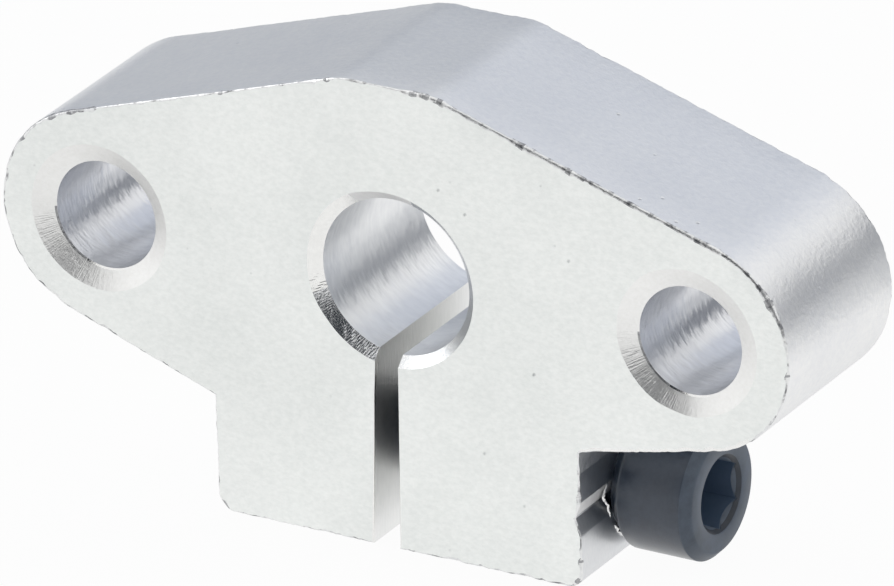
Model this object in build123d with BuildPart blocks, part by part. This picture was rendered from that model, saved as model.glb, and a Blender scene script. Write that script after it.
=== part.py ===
from build123d import *
import os

# All sizes are in millimetres. The bore's axis is Y, Z is up, and the body
# runs from its mounting face at y = 0 forward to y = -body_thickness.

# Body, seen from the front: a kite-shaped flange over a split clamping lug
body_thickness = 10.0
hole_pitch = 32.0
end_radius = 5.5
bore_to_top = 10.0
bore_to_foot = 14.0
top_flat_width = 5.0
top_flat_corner_radius = 4.0
lug_width = 20.0
left_shoulder_drop = 8.0
foot_corner_radius = 0.8

# Shaft bore and mounting holes, with the same rims front and back
bore_radius = 4.0
bore_rim_radius = 4.5
mount_hole_radius = 2.75
mount_rim_radius = 3.75
mount_rim_angle = 124.0

# Clamping slit from the foot up into the bore, left of centre. It was sawn a
# little askew and opens towards the foot; each offset is that of its middle.
slit_bore_width = 1.27
slit_bore_offset = -0.395
slit_foot_width = 1.43
slit_foot_offset = -0.715

# Clamping screw, driven in from the right side of the lug. Its head stands just
# clear of the foot, and the shoulder above it just clears the head.
foot_margin = 0.3
shoulder_clearance = 0.1
screw_setback = 4.5
screw_radius = 2.0
screw_length = 16.0
screw_tip_chamfer = 0.4
head_radius = 3.35
head_length = 4.55
head_rim_chamfer = 0.5
head_seat_chamfer = 0.45
socket_width = 3.0
socket_depth = 2.0
socket_mouth_radius = 1.97
socket_floor_depth = 0.8

# Gaps between the screw and its two holes, on the radius
near_hole_gap = 0.25
far_hole_gap = 0.05
far_hole_mouth_chamfer = 0.3

# Shallow centring groove for the screw, along the right side of the lug
groove_half_width = 0.85
groove_depth = 0.28

# Sizes that follow from the ones above
screw_drop = bore_to_foot - head_radius - foot_margin
right_shoulder_drop = screw_drop - head_radius - shoulder_clearance
lug_half = lug_width / 2
hole_x = hole_pitch / 2
near_hole_radius = screw_radius + near_hole_gap
far_hole_radius = screw_radius + far_hole_gap
socket_corner_radius = socket_width / 3**0.5
slit_bore_left = slit_bore_offset - slit_bore_width / 2
slit_bore_right = slit_bore_offset + slit_bore_width / 2
slit_foot_left = slit_foot_offset - slit_foot_width / 2
slit_foot_right = slit_foot_offset + slit_foot_width / 2
front = Plane.XZ.offset(body_thickness)
back = Plane(origin=(0, 0, 0), x_dir=(-1, 0, 0), z_dir=(0, 1, 0))
right_side = Plane(
    origin=(lug_half, -screw_setback, -screw_drop), x_dir=(0, 1, 0), z_dir=(1, 0, 0)
)
left_side = Plane(
    origin=(-lug_half, -screw_setback, -screw_drop), x_dir=(0, -1, 0), z_dir=(-1, 0, 0)
)


# Body: one extruded, drilled and slit piece
with BuildPart() as body:
    with BuildSketch(Plane.XZ) as outline:
        # flange: round ends wrapped tightly over the top flat and the shoulders
        with BuildLine():
            CenterArc((-hole_x, 0), end_radius, 0, 360)
            CenterArc((hole_x, 0), end_radius, 0, 360)
            Polyline(
                (-top_flat_width / 2, bore_to_top),
                (top_flat_width / 2, bore_to_top),
                (lug_half, -right_shoulder_drop),
                (-lug_half, -left_shoulder_drop),
                close=True,
            )
        make_hull()
        fillet(outline.vertices().group_by(Axis.Y)[-1], top_flat_corner_radius)
        # clamping lug with softened foot corners
        with Locations((0, -bore_to_foot)):
            Rectangle(lug_width, bore_to_foot, align=(Align.CENTER, Align.MIN))
        fillet(outline.vertices().group_by(Axis.Y)[0], foot_corner_radius)
        # centring groove across the screw's side of the lug
        with BuildLine():
            Polyline(
                (lug_half, -screw_drop - groove_half_width),
                (lug_half - groove_depth, -screw_drop),
                (lug_half, -screw_drop + groove_half_width),
                close=True,
            )
        make_face(mode=Mode.SUBTRACT)
    extrude(amount=body_thickness)

    # shaft bore, its rim broken at both faces
    with Locations(front, back):
        CounterSinkHole(bore_radius, bore_rim_radius, counter_sink_angle=90)

    # mounting holes, each rim opened by a wide shallow deburring cone
    with Locations(front, back):
        with GridLocations(hole_pitch, 0, 2, 1):
            CounterSinkHole(mount_hole_radius, mount_rim_radius, counter_sink_angle=mount_rim_angle)

    # clamping slit
    with BuildSketch(Plane.XZ):
        with BuildLine():
            Polyline(
                (slit_foot_left, -bore_to_foot),
                (slit_foot_right, -bore_to_foot),
                (slit_bore_right, -bore_radius),
                (slit_bore_right, -bore_radius / 2),
                (slit_bore_left, -bore_radius / 2),
                (slit_bore_left, -bore_radius),
                close=True,
            )
        make_face()
    extrude(amount=body_thickness, mode=Mode.SUBTRACT)

    # clearance hole in the near half of the lug
    with BuildSketch(right_side):
        Circle(near_hole_radius)
    extrude(amount=-(lug_half - slit_foot_offset), mode=Mode.SUBTRACT)

    # tapped hole in the far half, drawn plain at the thread's outer size
    with BuildSketch(left_side):
        Circle(far_hole_radius)
    extrude(amount=-(lug_half + slit_foot_offset), mode=Mode.SUBTRACT)
    far_mouth = body.edges().filter_by(GeomType.CIRCLE).sort_by(Axis.X)[0]
    chamfer(far_mouth, far_hole_mouth_chamfer)

body.part.label = "body"


# Clamping screw: hexagon socket, cylindrical head, plain shank
with BuildPart() as screw:
    with BuildSketch(right_side):
        Circle(head_radius)
    extrude(amount=head_length)
    head_rims = screw.edges().sort_by(Axis.X)
    chamfer(head_rims[-1], head_rim_chamfer)
    chamfer(head_rims[0], head_seat_chamfer)

    with BuildSketch(right_side):
        Circle(screw_radius)
    extrude(amount=-screw_length)
    chamfer(screw.edges().sort_by(Axis.X)[0], screw_tip_chamfer)

    # socket: six flats, a coned mouth and a coned floor
    head_end = right_side.offset(head_length)
    with BuildSketch(head_end):
        RegularPolygon(socket_corner_radius, 6, rotation=30)
    extrude(amount=-socket_depth, mode=Mode.SUBTRACT)
    with Locations(head_end):
        CounterSinkHole(socket_width / 2, socket_mouth_radius, socket_depth, 90)
    with Locations(head_end.offset(-socket_depth)):
        Cone(
            bottom_radius=0,
            top_radius=socket_width / 2,
            height=socket_floor_depth,
            align=(Align.CENTER, Align.CENTER, Align.MAX),
            mode=Mode.SUBTRACT,
        )

screw.part.label = "clamp_screw"


os.makedirs("parts", exist_ok=True)
export_step(body.part, "parts/body.step")
export_step(screw.part, "parts/clamp_screw.step")
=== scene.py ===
import cmath
import math

import bmesh
import bpy
import numpy as np
from mathutils import Matrix, Vector, geometry, noise


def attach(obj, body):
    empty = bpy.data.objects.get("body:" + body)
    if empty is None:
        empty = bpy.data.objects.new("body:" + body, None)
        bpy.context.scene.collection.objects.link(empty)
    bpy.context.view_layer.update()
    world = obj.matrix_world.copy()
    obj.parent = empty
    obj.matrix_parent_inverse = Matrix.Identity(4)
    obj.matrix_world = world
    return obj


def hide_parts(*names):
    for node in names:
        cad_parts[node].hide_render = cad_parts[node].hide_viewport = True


# Shape sizes are in millimetres, as on a drawing, and turn to metres when a
# mesh is made. X runs along the flange, Y along the shaft bore, Z up.
MM = 0.001

# The block: its faces, its flange and the clamping lug below
FRONT_Y = -10.0
BACK_Y = 0.0
FOOT_Z = -14.0
HOLE_X = 16.0
END_RADIUS = 5.5
TOP_Z = 10.0
TOP_FLAT_HALF = 2.5
TOP_CORNER_RADIUS = 4.0
LUG_HALF = 10.0
RIGHT_SHOULDER_Z = -6.9
LEFT_SHOULDER_Z = -8.0
FOOT_CORNER_RADIUS = 0.8

# The bore, the mounting holes and the slit that opens the bore to the foot
BORE_RADIUS = 4.0
BORE_RIM = 0.5
HOLE_RADIUS = 2.75
HOLE_RIM_RADIUS = 3.75
HOLE_RIM_DEPTH = 0.47
SLIT_LEFT_X = -1.03
SLIT_RIGHT_X = 0.24
SLIT_FOOT_LEFT_X = -1.43
SLIT_FOOT_RIGHT_X = 0.0
SLIT_BREAK = 0.09

# The clamping screw, its two holes and the groove that guided its drill
SCREW_Y = -4.5
SCREW_Z = -10.35
SHANK_RADIUS = 2.0
THREAD_PITCH = 0.7
THREAD_ROOT_RADIUS = 1.57
TIP_X = -6.0
TIP_RADIUS = 1.5
SEAT_X = 10.0
HEAD_RADIUS = 3.35
HEAD_END_X = 14.55
HEAD_RIM = 0.5
HEAD_SEAT = 0.75
SOCKET_FLAT = 1.6
SOCKET_MOUTH = 1.97
SOCKET_MOUTH_DEPTH = 0.42
SOCKET_DEPTH = 2.0
SOCKET_FLOOR_DEPTH = 0.8
CLEARANCE_RADIUS = 2.25
TAPPED_RADIUS = 2.05
TAPPED_CREST_RADIUS = 1.68
TAPPED_MOUTH = 0.3
GROOVE_HALF = 0.85
GROOVE_DEPTH = 0.28

# Rings of a mounting hole's rim, from its outer edge to the hole; the last strip
# is the torn edge. Over two arcs, in degrees, that edge carries a painted shadow of the torn lip in
# dark grey, then is shiny.
RIM_STEPS = (0, 0.3, 0.6, 0.9, 1)
TORN_SHADOW_ARC = (182, 245)
SHINY_ARC = (245, 290)

# The part of the bore rim rubbed down with abrasive cloth: its middle and half
# its width, in degrees, and how much wider the rim is there
RUBBED_MIDDLE = 159.0
RUBBED_HALF = 40.0
RUBBED_EXTRA = 0.1

# How deep the cutters chattered in the bore rim and in the mounting hole rims
BORE_CHATTER = 0.026
HOLE_CHATTER = 0.045

# The lip torn up round the head's seat: its radius, and where it starts and how
# far it runs round the screw, in degrees
SEAT_BURR_RADIUS = 2.95
SEAT_BURR_START = 164
SEAT_BURR_SWEEP = 94

# The broken front edge: its usual width, its limits and its count of small nicks.
# Below WING_Z the outline beyond the lug is the underside of a wing.
EDGE_BREAK = 0.075
NARROWEST_BREAK = 0.02
WIDEST_BREAK = 0.32
NICKS = 40
WING_Z = -0.8 * END_RADIUS

# Knocks in the front edge: where, how wide and how deep
KNOCKS = (
    (-9.75 - 13.75j, 0.4, 0.18), (9.75 - 13.7j, 0.35, 0.16), (10 - 12.6j, 0.2, 0.1),
    (7.4 + 8.46j, 0.32, 0.12), (9.95 + 7.66j, 0.22, 0.1), (1.6 + 9.97j, 0.3, 0.06),
    (2.3 + 9.95j, 0.35, 0.08), (3 + 9.83j, 0.3, 0.08), (-20.3 + 3.4j, 0.3, 0.06),
    (20.6 + 3.0j, 0.4, 0.12), (-14.9 + 5.9j, 0.25, 0.1), (-18.6 + 4.85j, 0.3, 0.1),
    (21.4 - 0.6j, 0.25, 0.08), (-3.2 + 9.78j, 0.2, 0.1), (-9 + 7.96j, 0.25, 0.08),
)

# How finely the shapes are drawn: the spacing of points along the outline and
# over the flat faces, the points up a slit wall, round the bore and round a
# mounting hole, the strips across a broken edge and the bore rim, the rows
# between the two faces, and the sides of what is turned round the screw's axis
OUTLINE_STEP = 0.14
FACE_SPACING = 0.9
SLIT_POINTS = 40
BORE_POINTS = 1260
HOLE_SIDES = 720
RIM_STRIPS = 6
DEPTH_SHARES = (0.2, 0.4, 0.6, 0.8)
TURNED_SIDES = 96
TURNED_ANGLES = np.arange(TURNED_SIDES) * 2 * math.pi / TURNED_SIDES

# Places in the two lists of finishes: the block's, then the screw's
(
    BLASTED, EXTRUDED, REAMED, DRILLED, CHAMFERED, DEBURRED,
    SAWN, MACHINED_AND_SHADED, SCRAPED_HIGHLIGHT, BURRED, BRUISED_AND_SHADED, RUBBED,
) = range(12)
TURNED, FACED, BROACHED_LIT, COUNTERSUNK_SHADED = range(4)


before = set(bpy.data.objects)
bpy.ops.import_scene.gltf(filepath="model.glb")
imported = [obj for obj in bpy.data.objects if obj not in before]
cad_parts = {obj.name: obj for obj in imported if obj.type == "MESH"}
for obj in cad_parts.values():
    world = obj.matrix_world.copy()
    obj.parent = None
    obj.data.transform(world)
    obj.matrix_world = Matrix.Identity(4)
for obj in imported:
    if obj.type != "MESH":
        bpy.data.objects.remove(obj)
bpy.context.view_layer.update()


def linear(code):
    """An sRGB hex colour as linear RGBA."""
    parts = [int(code[k:k + 2], 16) / 255 for k in (1, 3, 5)]
    return [c / 12.92 if c <= 0.04045 else ((c + 0.055) / 1.055) ** 2.4 for c in parts] + [1]


def wobble(where, seed):
    """Smooth noise from about -1 to 1 along a line."""
    return noise.noise(Vector((where, seed * 7.31, seed * 3.17)))


# Outline drawing, with x + z * 1j as a point of the front view

def line(start, end, step):
    """Points along a straight line, without its end."""
    count = max(1, round(abs(end - start) / step))
    return [start + (end - start) * k / count for k in range(count)]


def arc(centre, radius, start, end, step):
    """Points along an arc between two angles in degrees, without its end."""
    count = max(3, round(abs(radius * math.radians(end - start)) / step))
    turn = (end - start) / count
    return [centre + cmath.rect(radius, math.radians(start + turn * k)) for k in range(count)]


def tangent_angle(corner):
    """Angle at which a line from a shoulder corner touches the right-hand flange end."""
    reach = HOLE_X - corner
    lean = math.asin(END_RADIUS / abs(reach))
    return math.degrees(cmath.phase(reach) - lean) - 90


def outer_outline(step):
    """The block's outside from the slit's right foot corner round to its left one."""
    facet = math.degrees(math.asin(END_RADIUS / abs(HOLE_X - TOP_FLAT_HALF - TOP_Z * 1j)))
    slope = math.degrees(math.atan2(TOP_Z, HOLE_X - TOP_FLAT_HALF)) - facet
    crest = 90 - slope
    trim = TOP_CORNER_RADIUS * math.tan(math.radians(slope / 2))
    corner = LUG_HALF - FOOT_CORNER_RADIUS
    corner_z = FOOT_Z + FOOT_CORNER_RADIUS
    right_shoulder = LUG_HALF + RIGHT_SHOULDER_Z * 1j
    right_low = tangent_angle(right_shoulder)
    left_low = 180 - tangent_angle(LUG_HALF + LEFT_SHOULDER_Z * 1j)
    left_shoulder = -LUG_HALF + LEFT_SHOULDER_Z * 1j

    def end_point(side, angle):
        """A point of the right (1) or left (-1) flange end's arc."""
        return side * HOLE_X + cmath.rect(END_RADIUS, math.radians(angle))

    flat_right = TOP_FLAT_HALF - trim + (TOP_Z - TOP_CORNER_RADIUS) * 1j
    flat_left = -flat_right.conjugate()
    flat_right_start = flat_right + cmath.rect(TOP_CORNER_RADIUS, math.radians(crest))
    flat_left_end = flat_left + cmath.rect(TOP_CORNER_RADIUS, math.radians(180 - crest))
    groove = [
        LUG_HALF + (SCREW_Z - GROOVE_HALF) * 1j,
        LUG_HALF - GROOVE_DEPTH + SCREW_Z * 1j,
        LUG_HALF + (SCREW_Z + GROOVE_HALF) * 1j,
        right_shoulder,
    ]
    points = line(SLIT_FOOT_RIGHT_X + FOOT_Z * 1j, corner + FOOT_Z * 1j, step)
    points += arc(corner + corner_z * 1j, FOOT_CORNER_RADIUS, -90, 0, step)
    start = LUG_HALF + corner_z * 1j
    for end in groove:
        points += line(start, end, step)
        start = end
    points += line(right_shoulder, end_point(1, right_low), step)
    points += arc(HOLE_X, END_RADIUS, right_low, crest, step)
    points += line(end_point(1, crest), flat_right_start, step)
    points += arc(flat_right, TOP_CORNER_RADIUS, crest, 90, step)
    points += line(flat_right + TOP_CORNER_RADIUS * 1j, flat_left + TOP_CORNER_RADIUS * 1j, step)
    points += arc(flat_left, TOP_CORNER_RADIUS, 90, 180 - crest, step)
    points += line(flat_left_end, end_point(-1, 180 - crest), step)
    points += arc(-HOLE_X, END_RADIUS, 180 - crest, left_low, step)
    points += line(end_point(-1, left_low), left_shoulder, step)
    points += line(left_shoulder, -LUG_HALF + corner_z * 1j, step)
    points += arc(-corner + corner_z * 1j, FOOT_CORNER_RADIUS, 180, 270, step)
    points += line(-corner + FOOT_Z * 1j, SLIT_FOOT_LEFT_X + FOOT_Z * 1j, step)
    points.append(SLIT_FOOT_LEFT_X + FOOT_Z * 1j)
    return np.array(points)


def inward(points):
    """For each point of an open outline, the mitred step into the metal on its left."""
    along = np.diff(points)
    left = 1j * along / abs(along)
    before = np.concatenate([[left[0]], left])
    after = np.concatenate([left, [left[-1]]])
    dot = (before * after.conj()).real
    return (before + after) / (1 + dot)


# Mesh making

def finish_mesh(name, points, faces, finishes=None):
    """A new mesh object from points in millimetres."""
    mesh = bpy.data.meshes.new(name)
    mesh.from_pydata([[c * MM for c in p] for p in points], [], faces)
    if finishes is not None:
        mesh.polygons.foreach_set("material_index", finishes)
    mesh.validate()
    piece = bpy.data.objects.new(name, mesh)
    bpy.context.scene.collection.objects.link(piece)
    return piece


def cap(rings, points, y, spacing, facing):
    """Triangles that fill a flat face between its rings, with a few points added inside."""
    loops = [np.array([[points[k][0], points[k][2]] for k in ring]) for ring in rings]
    flat = np.concatenate(loops)
    index = [k for ring in rings for k in ring]
    edges, first = [], 0
    for loop in loops:
        count = len(loop)
        edges += [(first + k, first + (k + 1) % count) for k in range(count)]
        first += count

    def inside(spot):
        """Whether a spot lies in the metal, from how many ring edges lie to its right."""
        crossings = 0
        for loop in loops:
            a, b = loop, np.roll(loop, -1, axis=0)
            spans = (a[:, 1] > spot[1]) != (b[:, 1] > spot[1])
            rise = np.where(spans, b[:, 1] - a[:, 1], 1)
            at = a[:, 0] + (spot[1] - a[:, 1]) / rise * (b[:, 0] - a[:, 0])
            crossings += np.count_nonzero(spans & (at > spot[0]))
        return crossings % 2 == 1

    low, high = flat.min(0), flat.max(0)
    added = []
    for x in np.arange(low[0], high[0], spacing):
        for z in np.arange(low[1], high[1], spacing):
            spot = np.array([x, z])
            if np.hypot(*(flat - spot).T).min() > 0.6 * spacing and inside(spot):
                added.append(spot)
    everything = [Vector(p) for p in flat] + [Vector(p) for p in added]
    verts, _, faces, origin, _, _ = geometry.delaunay_2d_cdt(everything, edges, [], 0, 1e-7)
    place = []
    for k, spot in enumerate(verts):
        source = origin[k][0]
        if source < len(index):
            place.append(index[source])
        else:
            place.append(len(points))
            points.append((spot.x, y, spot.y))
    made = []
    for face in faces:
        middle = sum((verts[k] for k in face), Vector((0, 0))) / 3
        if inside(middle):
            corners = [place[k] for k in face]
            made.append(corners if facing == "front" else corners[::-1])
    return made


def edge_breaks(outline):
    """How far the front edge is broken at each outline point: lightly, with nicks and knocks."""
    lengths = np.concatenate([[0], np.cumsum(abs(np.diff(outline)))])
    breaks = EDGE_BREAK + np.array([
        0.04 * wobble(s * 0.9, 1) + 0.06 * wobble(s * 3.1, 2) + 0.045 * wobble(s * 7, 3)
        for s in lengths
    ])
    # the right slope, the right wing's underside and the left end are worn further
    slope = (outline.real > 1) & (outline.imag > 1)
    wing = (outline.real > LUG_HALF) & (outline.imag < WING_Z)
    far_left = outline.real < -HOLE_X
    breaks += 0.08 * slope + 0.15 * wing + 0.05 * far_left
    rng = np.random.default_rng(11)
    for _ in range(NICKS):
        at = rng.uniform(0, lengths[-1])
        wide, deep = rng.uniform(0.15, 0.45), rng.uniform(0.03, 0.1)
        breaks += deep * np.exp(-(((lengths - at) / wide) ** 2))
    for knock, wide, deep in KNOCKS:
        breaks += deep * np.exp(-((abs(outline - knock) / wide) ** 2))
    return np.clip(breaks, NARROWEST_BREAK, WIDEST_BREAK)


def mouth_angle(x, radius):
    """Angle round the bore at which the slit wall at x meets a circle of this radius."""
    return math.atan2(-math.sqrt(radius**2 - x**2), x)


def build_block():
    """The clamping block, swept from its front face to its back in rings of one point count."""
    outline = outer_outline(OUTLINE_STEP)
    step_in = inward(outline)
    break_front = edge_breaks(outline)
    break_back = break_front[::-1].copy()

    def ring(depth_share, side):
        """One ring. Across the broken edge, depth_share is 0 on the face and 1 on the wall."""
        turn = math.radians(90 * depth_share)
        breaks = break_front if side < 0 else break_back
        face_y = FRONT_Y if side < 0 else BACK_Y
        inset = breaks * (1 - math.sin(turn))
        y_outer = face_y - side * breaks * (1 - math.cos(turn))
        outer = outline + step_in * inset
        slit_break = SLIT_BREAK * (1 - math.sin(turn))
        right_x = SLIT_FOOT_RIGHT_X + slit_break
        left_x = SLIT_FOOT_LEFT_X - slit_break
        outer[0] = right_x + outer[0].imag * 1j
        outer[-1] = left_x + outer[-1].imag * 1j
        start = mouth_angle(SLIT_LEFT_X, BORE_RADIUS)
        end = mouth_angle(SLIT_RIGHT_X, BORE_RADIUS) - 2 * math.pi
        angles = np.linspace(start, end, BORE_POINTS + 1)
        rubbed = np.cos(angles - math.radians(RUBBED_MIDDLE)) - math.cos(math.radians(RUBBED_HALF))
        rim = BORE_RIM + RUBBED_EXTRA * np.clip(1 + 4 * rubbed, 0, 1)
        radius = BORE_RADIUS + rim * (1 - depth_share)
        # the two rim ends stay on the slit walls while the rest of the ring opens outward
        angles[0] = mouth_angle(SLIT_LEFT_X, radius[0])
        angles[-1] = mouth_angle(SLIT_RIGHT_X, radius[-1]) - 2 * math.pi
        bore_y = np.full(len(angles), face_y - side * BORE_RIM * depth_share)
        chatter = np.array([
            0.6 * wobble(a * 30 + 7 * depth_share, 5) + 1.4 * wobble(a * 105 + 17 * depth_share, 6)
            for a in angles
        ])
        # the tool chattered hard at the lower left, left of the slit, and little elsewhere
        hard = np.clip(3 * np.cos(angles + 1.9) - 1.9, 0.45, 1)
        lower_left = np.clip(8 * np.cos(angles + 2.27) - 2.6, 0.04, 1)
        left_of_slit = np.where(angles > -1.9 * math.pi, 1, 0.05)
        chatter *= hard * lower_left * left_of_slit
        chatter[0] = chatter[-1] = 0
        depth = BORE_CHATTER if 0 < depth_share < 1 else 0
        bore = (radius + depth * chatter) * np.exp(1j * angles)
        share = np.arange(1, SLIT_POINTS) / SLIT_POINTS
        near_bore = share**10
        slit_y = face_y - side * SLIT_BREAK * (1 - math.cos(turn))

        def wall(foot_x, top_x, foot_z, top):
            """Points up one slit wall, bent near the top to end on the rim."""
            level = foot_z + share * (top.imag - foot_z)
            ideal = foot_x + (top_x - foot_x) * (level - FOOT_Z) / (-BORE_RADIUS - FOOT_Z)
            return ideal + (top.real - ideal) * near_bore + 1j * level

        up = wall(left_x, SLIT_LEFT_X, outer[-1].imag, bore[0])
        down = wall(right_x, SLIT_RIGHT_X, outer[0].imag, bore[-1])
        y_up = slit_y + (bore_y[0] - slit_y) * near_bore
        y_down = slit_y + (bore_y[-1] - slit_y) * near_bore
        flat = np.concatenate([outer, up, bore, down[::-1]])
        y = np.concatenate([y_outer, y_up, bore_y, y_down[::-1]])
        return [(p.real, v, p.imag) for p, v in zip(flat, y)]

    def hole_ring(side_x, depth_share, side):
        """One ring of a mounting hole, wound the other way. Its rim is uneven, as cut by hand."""
        face_y = FRONT_Y if side < 0 else BACK_Y
        made = []
        for k in range(HOLE_SIDES):
            a = -2 * math.pi * k / HOLE_SIDES
            uneven = 0.07 * wobble(2.2 * math.cos(a) + side_x, 8 + side) + 0.05 * math.cos(a - 2.4)
            uneven -= 0.006 * side_x * math.cos(a - 3.6)
            torn = min(1, max(0.1, 2.5 * math.cos(a - 3.9) - 1.2))
            torn *= 4 * depth_share * (1 - depth_share)
            chatter = HOLE_CHATTER * torn * wobble(a * 80 + 9 * depth_share, 9 + side_x)
            rim = HOLE_RIM_RADIUS + uneven
            radius = rim + (HOLE_RADIUS - rim) * depth_share + chatter
            y = face_y - side * HOLE_RIM_DEPTH * depth_share
            made.append((side_x + radius * math.cos(a), y, radius * math.sin(a)))
        return made

    shares = [k / RIM_STRIPS for k in range(RIM_STRIPS + 1)]
    rings = [ring(s, -1) for s in shares]
    front_wall, back_wall = ring(1, -1), ring(1, 1)
    for part in DEPTH_SHARES:
        rings.append([
            tuple(a + (b - a) * part for a, b in zip(p, q)) for p, q in zip(front_wall, back_wall)
        ])
    rings += [ring(s, 1) for s in reversed(shares)]

    points, faces, finishes = [], [], []
    outer_count = len(outline)
    bore_start = outer_count + SLIT_POINTS - 1

    def sweep(rows, finish_of):
        """Joins rows of points with faces, and gives the first and last row."""
        first = len(points)
        count = len(rows[0])
        for row in rows:
            points.extend(row)
        for j in range(len(rows) - 1):
            for i in range(count):
                a, b = first + j * count + i, first + j * count + (i + 1) % count
                faces.append((a, a + count, b + count, b))
                finishes.append(finish_of(j, i))
        return list(range(first, first + count)), list(range(len(points) - count, len(points)))

    last_strip = len(rings) - 2
    # how much of the broken edge's width each knock bruises, as a share from the face
    knocked = [
        max(1.6 - 2.4 * abs(p - knock) / wide for knock, wide, _ in KNOCKS) for p in outline
    ]

    def block_finish(j, i):
        """The finish of face i in strip j, from where it lies in the outline, slit or bore."""
        if i < outer_count - 1:
            x, z = outline[i].real, outline[i].imag
            if j < RIM_STRIPS or j > last_strip - RIM_STRIPS:
                if knocked[i] > j / RIM_STRIPS or x < -HOLE_X and 2 < j < RIM_STRIPS:
                    return BRUISED_AND_SHADED
                return RUBBED if x > LUG_HALF and z < WING_Z else BURRED
            # the groove's upper flank takes the pale painted highlight
            if x > LUG_HALF - GROOVE_DEPTH - 0.01 and SCREW_Z < z < SCREW_Z + GROOVE_HALF:
                return SCRAPED_HIGHLIGHT
            # the lug sides and foot take the greyer base, a painted shade
            return MACHINED_AND_SHADED if abs(x) < LUG_HALF + 0.01 and z < LEFT_SHOULDER_Z else EXTRUDED
        if i < bore_start or i >= bore_start + BORE_POINTS:
            return RUBBED if j < RIM_STRIPS else SAWN
        if RIM_STRIPS <= j <= last_strip - RIM_STRIPS:
            return REAMED
        x, _, z = rings[0][i]
        from_middle = cmath.phase(complex(x, z) / cmath.rect(1, math.radians(RUBBED_MIDDLE)))
        if abs(from_middle) < math.radians(RUBBED_HALF):
            return RUBBED
        # the top of the bore rim takes the pale painted highlight
        return SCRAPED_HIGHLIGHT if x < 1.2 and z > 0 else CHAMFERED

    def hole_finish(j, i):
        """The finish of face i in strip j of a mounting hole."""
        beyond_wall = abs(j - len(RIM_STEPS) + 1)
        round_to = 360 - 360 * i / HOLE_SIDES
        if beyond_wall == 0:
            return DRILLED
        # along this arc the torn edge is painted dark grey, a painted shadow of the torn lip
        if beyond_wall == 1 and TORN_SHADOW_ARC[0] < round_to < TORN_SHADOW_ARC[1]:
            return BRUISED_AND_SHADED
        if beyond_wall == 1 and SHINY_ARC[0] < round_to < SHINY_ARC[1]:
            return RUBBED
        return DEBURRED

    ends = [sweep(rings, block_finish)]
    for x in (-HOLE_X, HOLE_X):
        hole = [hole_ring(x, s, -1) for s in RIM_STEPS]
        hole += [hole_ring(x, s, 1) for s in reversed(RIM_STEPS)]
        ends.append(sweep(hole, hole_finish))
    fronts, backs = zip(*ends)
    for loops, y, facing in ((fronts, FRONT_Y, "front"), (backs, BACK_Y, "back")):
        filled = cap(loops, points, y, FACE_SPACING, facing)
        faces.extend(filled)
        finishes.extend([BLASTED] * len(filled))
    return finish_mesh("clamping_block", points, faces, finishes)


def thread_radius(x, angle, crest, root):
    """Radius of a right-hand thread: a crest an eighth of the pitch wide, flanks, a flat root."""
    phase = (x / THREAD_PITCH - angle / (2 * math.pi)) % 1
    off = np.minimum(phase, 1 - phase)
    return crest + (root - crest) * np.clip((off - 1 / 16) / (5 / 16), 0, 1)


def turned(name, rings):
    """A closed solid round the screw's axis. Each ring gives x and radius for every angle."""
    sides = TURNED_SIDES
    points, faces = [], []
    for x, radius in rings:
        x, radius = np.broadcast_to(x, sides), np.broadcast_to(radius, sides)
        points += [
            (x[k], SCREW_Y + radius[k] * math.cos(angle), SCREW_Z + radius[k] * math.sin(angle))
            for k, angle in enumerate(TURNED_ANGLES)
        ]
    for j in range(len(rings) - 1):
        for i in range(sides):
            a, b = j * sides + i, j * sides + (i + 1) % sides
            faces.append((a, b, b + sides, a + sides))
    last = (len(rings) - 1) * sides
    for first, x, order in ((0, rings[0][0], -1), (last, rings[-1][0], 1)):
        middle = len(points)
        points.append((float(np.mean(x)), SCREW_Y, SCREW_Z))
        for i in range(sides):
            trio = (first + i, first + (i + 1) % sides, middle)
            faces.append(trio[::order])
    return finish_mesh(name, points, faces)


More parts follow.
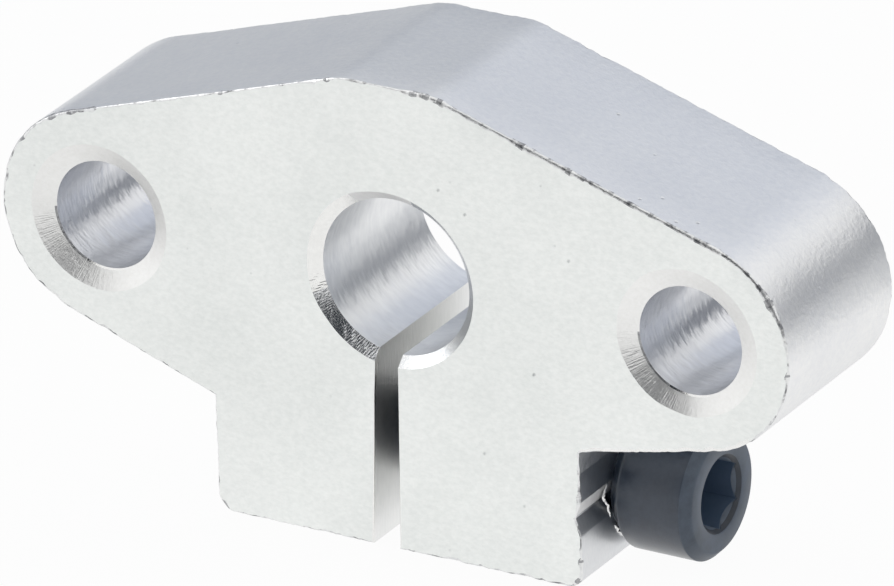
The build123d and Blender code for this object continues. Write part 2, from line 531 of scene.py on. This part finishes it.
def build_screw():
    """The clamping screw: threaded shank, turned head and broached hexagon socket."""
    # the thread, coned at the tip, and its run-out under the head
    rings = [(TIP_X, TIP_RADIUS)]
    x = TIP_X
    while x < SEAT_X - 0.75:
        radius = thread_radius(x, TURNED_ANGLES, SHANK_RADIUS - 0.02, THREAD_ROOT_RADIUS)
        rings.append((x, np.minimum(radius, TIP_RADIUS + 0.02 + (x - TIP_X))))
        x += THREAD_PITCH / 10
    rings += [
        (SEAT_X - 0.6, SHANK_RADIUS - 0.15),
        (SEAT_X - 0.3, SHANK_RADIUS - 0.1),
        (SEAT_X, SHANK_RADIUS),
        (SEAT_X, HEAD_RADIUS - HEAD_SEAT),
    ]
    # the head, from its seat's chamfer to the rounded rim of its end
    for share, out in ((0.06, 0.02), (0.85, 0.88), (0.97, 0.97), (1.1, 1)):
        rings.append((SEAT_X + HEAD_SEAT * share, HEAD_RADIUS - HEAD_SEAT * (1 - out)))
    rim_start = HEAD_END_X - HEAD_RIM
    for share in (0.25, 0.5, 0.75):
        rings.append((SEAT_X + HEAD_SEAT + (rim_start - SEAT_X - HEAD_SEAT) * share, HEAD_RADIUS))
    for along, back in (
        (-0.06, 0), (0.02, 0.008), (0.08, 0.05), (0.42, 0.39), (0.475, 0.45), (0.5, 0.53),
    ):
        rings.append((rim_start + along, HEAD_RADIUS - back))
    rings.append((HEAD_END_X, (HEAD_RADIUS - HEAD_RIM + SOCKET_MOUTH) / 2))
    # the socket, its edges worn most in the middle of each flat
    hexagon = SOCKET_FLAT / np.cos((TURNED_ANGLES + math.pi / 6) % (math.pi / 3) - math.pi / 6)
    worn = 0.15 * np.clip((SOCKET_FLAT * 1.1 - hexagon) / (SOCKET_FLAT * 0.1), 0.1, 1)
    rings += [
        (HEAD_END_X, SOCKET_MOUTH + 0.04),
        (HEAD_END_X - 0.03, SOCKET_MOUTH - 0.02),
        (HEAD_END_X - (SOCKET_MOUTH - hexagon) + worn, hexagon + worn),
        (HEAD_END_X - (SOCKET_MOUTH - hexagon) - 0.03, hexagon + 0.02),
        (HEAD_END_X - (SOCKET_MOUTH - hexagon) - 0.06, hexagon),
        (HEAD_END_X - SOCKET_DEPTH, hexagon),
        (HEAD_END_X - SOCKET_DEPTH - 0.02, SOCKET_FLAT - 0.02),
        (HEAD_END_X - SOCKET_DEPTH - SOCKET_FLOOR_DEPTH * 0.9, SOCKET_FLAT * 0.1),
    ]
    return turned("clamping_screw", rings)


def clearance_cutter():
    """The room of the clearance hole through the near half of the lug."""
    return turned("near_cutter", [(-0.5, CLEARANCE_RADIUS), (LUG_HALF + 1, CLEARANCE_RADIUS)])


def tapped_cutter():
    """The room of the tapped hole through the far half of the lug, with its chamfered mouth."""
    rings = []
    x = -LUG_HALF - 1.0
    while x < -0.8:
        radius = thread_radius(x, TURNED_ANGLES, TAPPED_RADIUS, TAPPED_CREST_RADIUS)
        rings.append((x, np.maximum(radius, TAPPED_RADIUS + TAPPED_MOUTH - (x + LUG_HALF))))
        x += THREAD_PITCH / 8
    return turned("far_cutter", rings)


def build_seat_burr():
    """The torn bright lip that the screw head raised on the lug, round the front of its seat."""
    count, rows = 160, 7
    points, faces = [], []
    for k in range(count + 1):
        share = k / count
        angle = math.radians(SEAT_BURR_START + SEAT_BURR_SWEEP * share)
        # it is torn away in places, most of all about halfway
        torn = min(1, max(0, 0.9 + 1.3 * wobble(share * 19, 27)))
        torn *= min(1, max(0, 9 * abs(share - 0.46) - 0.5))
        height = 0.14 + 0.09 * share
        height += 0.12 * wobble(share * 23, 21) + 0.1 * wobble(share * 61, 22)
        height *= math.sin(math.pi * share) ** 0.4 * torn
        # it swings outward near its top and inward past the middle
        middle = SEAT_BURR_RADIUS + 0.42 * math.exp(-(((share - 0.12) / 0.07) ** 2))
        middle += 0.09 * wobble(share * 21, 23) - 0.14 * math.exp(-(((share - 0.55) / 0.25) ** 2))
        half = 0.08 + 0.07 * wobble(share * 27, 24)
        for j in range(rows):
            across = -1 + 2 * j / (rows - 1)
            radius = middle + half * across
            lift = max(0.0, height) * (1 - across**2) - 0.004
            points.append((
                SEAT_X + lift,
                SCREW_Y + radius * math.cos(angle),
                SCREW_Z + radius * math.sin(angle),
            ))
    for k in range(count):
        for j in range(rows - 1):
            a = k * rows + j
            faces.append((a, a + rows, a + rows + 1, a + 1))
    return finish_mesh("seat_burr", points, faces)


def screw_finish(mesh, face):
    """The finish of one face of the screw, from how far along and how far out it lies."""
    def reach(spot):
        return math.hypot(spot.y / MM - SCREW_Y, spot.z / MM - SCREW_Z)

    x = face.center.x / MM
    if reach(face.center) > SOCKET_MOUTH:
        return FACED if x > HEAD_END_X - HEAD_RIM else TURNED
    if x > HEAD_END_X - SOCKET_MOUTH_DEPTH:
        outermost = max(reach(mesh.vertices[k].co) for k in face.vertices)
        # the mouth's cone takes the nearly black painted shade
        return COUNTERSUNK_SHADED if outermost > SOCKET_MOUTH - 0.05 else FACED
    # the socket's walls take the lighter oxide, painted light inside the recess
    return BROACHED_LIT if x > HEAD_END_X - SOCKET_DEPTH - SOCKET_FLOOR_DEPTH else TURNED


def cut(piece, cutter):
    """Takes the cutter's room out of the piece."""
    change = piece.modifiers.new("cut", "BOOLEAN")
    change.operation = "DIFFERENCE"
    change.solver = "EXACT"
    change.object = cutter
    settle(piece)
    bpy.data.objects.remove(cutter)


def settle(piece):
    """Puts the result of a piece's modifiers into its mesh."""
    bpy.context.view_layer.update()
    evaluated = piece.evaluated_get(bpy.context.evaluated_depsgraph_get())
    mesh = bpy.data.meshes.new_from_object(evaluated)
    piece.modifiers.clear()
    piece.data = mesh


def shade(piece, along_limit, limit):
    """Smooth shading that keeps true corners crisp and flat faces flat beside broken edges."""
    mesh = piece.data
    work = bmesh.new()
    work.from_mesh(mesh)
    for face in work.faces:
        face.smooth = True
    for edge in work.edges:
        a, b = (v.co for v in edge.verts)
        runs_deep = abs(a.x - b.x) + abs(a.z - b.z) < 0.02 * abs(a.y - b.y)
        allowed = along_limit if runs_deep else limit
        if len(edge.link_faces) == 2 and edge.calc_face_angle(0) > math.radians(allowed):
            edge.smooth = False
    work.to_mesh(mesh)
    work.free()
    weigh = piece.modifiers.new("weigh", "WEIGHTED_NORMAL")
    weigh.keep_sharp = True


# Materials

def add_node(tree, kind, inputs=None, **settings):
    """Adds a node, sets it up, and links or fills its inputs."""
    made = tree.nodes.new(kind)
    for key, value in settings.items():
        setattr(made, key, value)
    for key, value in (inputs or {}).items():
        if isinstance(value, bpy.types.NodeSocket):
            tree.links.new(value, made.inputs[key])
        else:
            made.inputs[key].default_value = value
    return made


def new_material(name):
    """A material with nothing in it but its output."""
    material = bpy.data.materials.new(name)
    material.use_nodes = True
    tree = material.node_tree
    tree.nodes.clear()
    output = add_node(tree, "ShaderNodeOutputMaterial")
    return material, tree, output


def aluminium(name, light, dull, roughness, grain, depth, detail=3.0, pits=None, scuffs=None):
    """
    Aluminium, bare or under a clear anodised film that looks the same. Grain is the size of
    its surface marks along each axis and depth their height, both in millimetres; pits and
    scuffs are their colours.
    """
    material, tree, output = new_material(name)
    place = add_node(tree, "ShaderNodeTexCoord").outputs["Object"]
    stretched = add_node(tree, "ShaderNodeMapping", {
        "Vector": place, "Scale": [1000 / g for g in grain],
    })
    marks = add_node(tree, "ShaderNodeTexNoise", {
        "Vector": stretched.outputs["Vector"], "Scale": 1.0, "Detail": detail, "Roughness": 0.6,
    }).outputs["Fac"]
    marked = add_node(tree, "ShaderNodeMapRange", {
        "Value": marks, "From Min": 0.3, "From Max": 0.7,
    })
    # faint clouds from handling, as wide as a fingertip's 6 mm
    haze = add_node(tree, "ShaderNodeTexNoise", {
        "Vector": place, "Scale": 1000 / 6, "Detail": 5.0, "Roughness": 0.6,
    })
    clouds = add_node(tree, "ShaderNodeMapRange", {
        "Value": haze.outputs["Fac"], "From Min": 0.35, "From Max": 0.65,
    })
    worn = add_node(tree, "ShaderNodeMix", {
        "Factor": 0.6, "A": clouds.outputs["Result"], "B": marked.outputs["Result"],
    })
    base = add_node(tree, "ShaderNodeMix", {
        "Factor": worn.outputs["Result"], "A": linear(dull), "B": linear(light),
    }, data_type="RGBA").outputs["Result"]
    if pits:
        # one cell of 0.7 mm in eleven holds a pit, 0.1 to 0.2 mm wide as blasting grit leaves it
        dots = add_node(tree, "ShaderNodeTexVoronoi", {
            "Vector": place, "Scale": 1000 / 0.7, "Randomness": 1.0,
        })
        spot = add_node(tree, "ShaderNodeMapRange", {
            "Value": dots.outputs["Distance"], "From Min": 0.04, "From Max": 0.15,
            "To Min": 1.0, "To Max": 0.0,
        })
        chance = add_node(tree, "ShaderNodeSeparateColor", {"Color": dots.outputs["Color"]})
        deep = add_node(tree, "ShaderNodeMapRange", {
            "Value": chance.outputs["Red"], "From Min": 0.91, "From Max": 1.04,
        })
        pit = add_node(tree, "ShaderNodeMath", {
            0: spot.outputs["Result"], 1: deep.outputs["Result"],
        }, operation="MULTIPLY")
        base = add_node(tree, "ShaderNodeMix", {
            "Factor": pit.outputs["Value"], "A": base, "B": linear(pits),
        }, data_type="RGBA").outputs["Result"]
    if scuffs:
        # scuffs about 0.6 mm long, with clean metal between them
        patches = add_node(tree, "ShaderNodeTexNoise", {
            "Vector": place, "Scale": 1000 / 0.6, "Detail": 3.0, "Roughness": 0.6,
        })
        scuffed = add_node(tree, "ShaderNodeMapRange", {
            "Value": patches.outputs["Fac"], "From Min": 0.5, "From Max": 0.64,
        })
        base = add_node(tree, "ShaderNodeMix", {
            "Factor": scuffed.outputs["Result"], "A": base, "B": linear(scuffs),
        }, data_type="RGBA").outputs["Result"]
    height = marks
    if pits:
        height = add_node(tree, "ShaderNodeMath", {
            0: pit.outputs["Value"], 1: -3.0, 2: marks,
        }, operation="MULTIPLY_ADD").outputs["Value"]
    bump = add_node(tree, "ShaderNodeBump", {
        "Height": height, "Distance": depth * MM, "Strength": 1.0,
    })
    shader = add_node(tree, "ShaderNodeBsdfPrincipled", {
        "Base Color": base, "Metallic": 1.0, "Roughness": roughness,
        "Normal": bump.outputs["Normal"],
    })
    tree.links.new(shader.outputs["BSDF"], output.inputs["Surface"])
    return material


def black_oxide(name, dark, light, smooth, rough, oil=0.0):
    """Steel with a dark satin skin of black oxide; oil over it gleams where seen at a slant."""
    material, tree, output = new_material(name)
    place = add_node(tree, "ShaderNodeTexCoord").outputs["Object"]
    # turning marks 0.05 mm apart are drawn 0.1 mm apart, and each runs on for 3 mm
    lathe_marks = add_node(tree, "ShaderNodeMapping", {
        "Vector": place, "Scale": [1000 / 0.1, 1000 / 3, 1000 / 3],
    })
    marks = add_node(tree, "ShaderNodeTexNoise", {
        "Vector": lathe_marks.outputs["Vector"], "Scale": 1.0, "Detail": 3.0, "Roughness": 0.6,
    })
    # patches of dry and oily oxide, about 1.4 mm wide
    bloom = add_node(tree, "ShaderNodeTexNoise", {
        "Vector": place, "Scale": 1000 / 1.4, "Detail": 5.0, "Roughness": 0.65,
    })
    spread = add_node(tree, "ShaderNodeMapRange", {
        "Value": bloom.outputs["Fac"], "From Min": 0.3, "From Max": 0.7,
    })
    tint = add_node(tree, "ShaderNodeMix", {
        "Factor": spread.outputs["Result"], "A": linear(dark), "B": linear(light),
    }, data_type="RGBA")
    satin = add_node(tree, "ShaderNodeMapRange", {
        "Value": bloom.outputs["Fac"], "From Min": 0.3, "From Max": 0.7,
        "To Min": smooth, "To Max": rough,
    })
    bump = add_node(tree, "ShaderNodeBump", {
        "Height": marks.outputs["Fac"], "Distance": 0.008 * MM, "Strength": 1.0,
    })
    shader = add_node(tree, "ShaderNodeBsdfPrincipled", {
        "Base Color": tint.outputs["Result"], "Roughness": satin.outputs["Result"], "IOR": 1.5,
        "Normal": bump.outputs["Normal"],
        "Coat Weight": oil, "Coat Roughness": 0.35, "Coat IOR": 1.35,
    })
    tree.links.new(shader.outputs["BSDF"], output.inputs["Surface"])
    return material


# Pieces

# The block's finishes. Grit and tool marks are 0.02 to 0.1 mm wide on the real
# part, too fine for the picture, so the grains below draw them a few times coarser.
finishes = [
    # front and back: grit blasted, a pale even satin with a few darker pits
    aluminium("blasted_aluminium", "#FBFDFB", "#ECEFED", 0.42, (0.3, 0.3, 0.2), 0.022,
              pits="#A9AEB0"),
    # top, ends and wings: the extruded skin, a soft sheen that follows the curve
    aluminium("extruded_aluminium", "#F9F9F8", "#EDEEF0", 0.4, (0.28, 0.28, 0.28), 0.024,
              pits="#C4C8CE"),
    # shaft bore: reamed, streaks round the wall that draw the reflections out into soft bands
    aluminium("reamed_aluminium", "#F9FAFA", "#EAEBED", 0.35, (0.9, 0.34, 0.9), 0.036,
              detail=1.5),
    # mounting and screw holes: drilled, shinier, with darker bands and rougher streaks
    aluminium("drilled_aluminium", "#F2F3F5", "#E2E3E6", 0.29, (0.9, 0.3, 0.9), 0.05,
              detail=1.5),
    # bore rim: cut with a chamfer tool, a bright ring that turns dark where it chattered
    aluminium("chamfered_aluminium", "#F8F9F9", "#E4E6E8", 0.27, (0.12, 0.12, 0.12), 0.02),
    # mounting hole rims: opened by hand, a dull pale dish with a grey lower left side
    aluminium("deburred_aluminium", "#FAFAF9", "#F0F0EE", 0.41, (0.2, 0.2, 0.2), 0.016),
    # slit walls: sawn across, lines that smear what they mirror up and down
    aluminium("sawn_aluminium", "#F8F8F7", "#ECEDEC", 0.34, (0.3, 0.12, 0.8), 0.01),
    # lug sides: milled, fine enough to mirror the black screw head, and a shade greyer than the
    # rest of the block, a painted shade
    aluminium("machined_shaded_aluminium", "#E5E6E7", "#D8DADD", 0.34, (0.4, 0.12, 0.4), 0.008),
    # groove's upper flank and top of the bore rim: scraped matt, and painted paler than the metal
    # beside them, a painted highlight stripe
    aluminium("scraped_highlight_aluminium", "#FEFEFD", "#F4F4F4", 0.65, (0.3, 0.3, 0.3), 0.01),
    # edges: broken with a file, a thin glint with grey scuffs along it
    aluminium("burred_aluminium", "#F6F6F5", "#DCDEDF", 0.36, (0.15, 0.15, 0.15), 0.03,
              scuffs="#86878A"),
    # knocks, the left end's edge and torn hole edges: small dark grey spots, bruised metal on the
    # block's edges and a painted shadow of the torn lip along the hole edges
    aluminium("bruised_and_shaded_aluminium", "#C6C7C8", "#7C7D81", 0.36, (0.15, 0.15, 0.15), 0.04),
    # places rubbed with abrasive cloth: nearly a mirror, so they take the floor's white
    aluminium("rubbed_aluminium", "#F6F6F4", "#EBEBE9", 0.18, (0.3, 0.3, 0.3), 0.004),
]

block = build_block()
for finish in finishes:
    block.data.materials.append(finish)
for cutter in (clearance_cutter(), tapped_cutter()):
    for finish in finishes:
        cutter.data.materials.append(finish)
    cutter.data.polygons.foreach_set("material_index", [DRILLED] * len(cutter.data.polygons))
    cut(block, cutter)
shade(block, along_limit=12, limit=20)
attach(block, "root")
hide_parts("body")

burr = build_seat_burr()
burr.data.materials.append(finishes[DEBURRED])
shade(burr, along_limit=40, limit=40)
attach(burr, "root")

screw = build_screw()
# The screw's finishes, all under the same black oxide and oil
for finish in (
    # head's side, seat and thread: turned, the darkest satin with a long soft gleam
    black_oxide("turned_black_steel", "#263446", "#434F5F", 0.3, 0.42, oil=1.0),
    # head's end and its chamfer: faced, a lighter and duller blue grey
    black_oxide("faced_black_steel", "#4A5663", "#667180", 0.32, 0.5),
    # socket: broached, bluest on its flats, and painted a lighter blue grey than the head, painted
    # light inside the socket
    black_oxide("broached_lit_black_steel", "#53687F", "#64758C", 0.4, 0.5),
    # socket's mouth: countersunk, painted a nearly black ring, the painted shade of the way into
    # the socket
    black_oxide("countersunk_shaded_black_steel", "#1E242C", "#363E4A", 0.35, 0.5),
):
    screw.data.materials.append(finish)
for face in screw.data.polygons:
    face.material_index = screw_finish(screw.data, face)
shade(screw, along_limit=28, limit=28)
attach(screw, "root")
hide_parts("clamp_screw")


# Studio: floor, cards that the metal reflects, one softbox and a white surround

def background_rays(tree):
    """1 for camera, glossy and transmission rays, 0 for the rest."""
    path = add_node(tree, "ShaderNodeLightPath")
    seen = add_node(tree, "ShaderNodeMath", {
        0: path.outputs["Is Camera Ray"], 1: path.outputs["Is Glossy Ray"],
    }, operation="ADD")
    return add_node(tree, "ShaderNodeMath", {
        0: seen.outputs["Value"], 1: path.outputs["Is Transmission Ray"],
    }, operation="ADD", use_clamp=True).outputs["Value"]


def board(name, centre, size, towards, material):
    """A flat stage board, in metres, that faces a point."""
    work = bmesh.new()
    bmesh.ops.create_grid(work, x_segments=1, y_segments=1, size=0.5)
    mesh = bpy.data.meshes.new(name)
    work.to_mesh(mesh)
    work.free()
    piece = bpy.data.objects.new(name, mesh)
    bpy.context.scene.collection.objects.link(piece)
    aim = (Vector(towards) - Vector(centre)).to_track_quat("Z", "Y").to_matrix().to_4x4()
    piece.matrix_world = Matrix.Translation(centre) @ aim @ Matrix.Diagonal((*size, 1, 1))
    mesh.materials.append(material)
    return piece


def glowing_card(name, centre, size, towards, tone):
    """A board that shows its tone only to the metal and not to the camera."""
    material, tree, output = new_material(name)
    tinted = add_node(tree, "ShaderNodeEmission", {"Color": linear(tone), "Strength": 1.0})
    tree.links.new(tinted.outputs["Emission"], output.inputs["Surface"])
    card = board(name, centre, size, towards, material)
    card.visible_camera = False


def direction(azimuth, elevation):
    """Unit vector from the object; azimuth 0 is the front, 90 the right side."""
    a, e = math.radians(azimuth), math.radians(elevation)
    return Vector((math.sin(a) * math.cos(e), -math.cos(a) * math.cos(e), math.sin(e)))


# The paper glows to the camera and in reflections, all but the share that takes the block's
# shadow, and lies a hair's breadth below the foot, so that the two don't touch
PAPER_GLOW = 0.96
FLOOR_GAP = 0.02
paper, tree, output = new_material("white_paper")
lit = add_node(tree, "ShaderNodeBsdfDiffuse", {"Color": linear("#F4F4F4")})
glow = add_node(tree, "ShaderNodeEmission", {"Color": linear("#FFFFFF"), "Strength": 1.0})
share = add_node(tree, "ShaderNodeMath", {
    0: background_rays(tree), 1: PAPER_GLOW,
}, operation="MULTIPLY")
mixed = add_node(tree, "ShaderNodeMixShader", {
    0: share.outputs["Value"], 1: lit.outputs["BSDF"], 2: glow.outputs["Emission"],
})
tree.links.new(mixed.outputs["Shader"], output.inputs["Surface"])
board("floor", (0, 0, (FOOT_Z - FLOOR_GAP) * MM), (3, 3), (0, 0, 1), paper)

# Cards round the set: azimuth, elevation, distance, width, height and how they look in the metal
for name, azimuth, elevation, away, wide, high, tone in (
    ("front_card", 20, 33, 0.5, 0.72, 0.6, "#1F242C"),
    ("right_back_card", 141, 8.0, 0.14, 0.16, 0.052, "#777B83"),
    ("left_back_card", 222, 6, 0.6, 0.78, 0.26, "#9CA1AA"),
    ("left_high_card", 214, 31, 0.6, 0.66, 0.34, "#B4B9C2"),
    ("high_back_card", 179, 44, 0.6, 0.32, 0.45, "#D3D8E3"),
):
    glowing_card(name, direction(azimuth, elevation) * away, (wide, high), (0, 0, 0), tone)

# A grey sheet on the floor behind the block, painted shade on the floor there, seen only in the
# lower part of its right-hand end
shade_sheet_at = Vector((0.05, 0.072, FOOT_Z * MM + 0.0002))
glowing_card("painted_floor_shade", shade_sheet_at, (0.1, 0.08), shade_sheet_at + Vector((0, 0, 1)), "#CBCDD0")

softbox = bpy.data.lights.new("softbox", "AREA")
softbox.shape = "RECTANGLE"
softbox.size, softbox.size_y = 0.42, 0.5
softbox.energy = 1.0
lamp = bpy.data.objects.new("softbox", softbox)
spot = direction(-90, 28) * 0.7
lamp.matrix_world = Matrix.Translation(spot) @ (-spot).to_track_quat("-Z", "Y").to_matrix().to_4x4()
bpy.context.scene.collection.objects.link(lamp)

world = bpy.data.worlds.new("studio")
bpy.context.scene.world = world
world.use_nodes = True
tree = world.node_tree
tree.nodes.clear()
output = add_node(tree, "ShaderNodeOutputWorld")
dim = add_node(tree, "ShaderNodeBackground", {"Color": linear("#F6F7F9"), "Strength": 0.75})
white = add_node(tree, "ShaderNodeBackground", {"Color": linear("#FFFFFF"), "Strength": 1.0})
mixed = add_node(tree, "ShaderNodeMixShader", {
    0: background_rays(tree), 1: dim.outputs["Background"], 2: white.outputs["Background"],
})
tree.links.new(mixed.outputs["Shader"], output.inputs["Surface"])


# Camera: a long lens, to the right of the block and above it, held with a slight tilt
aim_at = Vector((2.39650, -8.87296, -0.60342)) * MM
sight = direction(31.14366, 24.48704)
away = 0.8
tilt = math.radians(-1.87287)
camera = bpy.data.cameras.new("camera")
camera.lens = 683.57
camera.sensor_width = 36
view = bpy.data.objects.new("camera", camera)
turn = (-sight).to_track_quat("-Z", "Y").to_matrix().to_4x4()
place = Matrix.Translation(aim_at + sight * away)
view.matrix_world = place @ turn @ Matrix.Rotation(tilt, 4, "Z")
bpy.context.scene.collection.objects.link(view)
bpy.context.scene.camera = view
bpy.context.scene.view_settings.view_transform = "Standard"
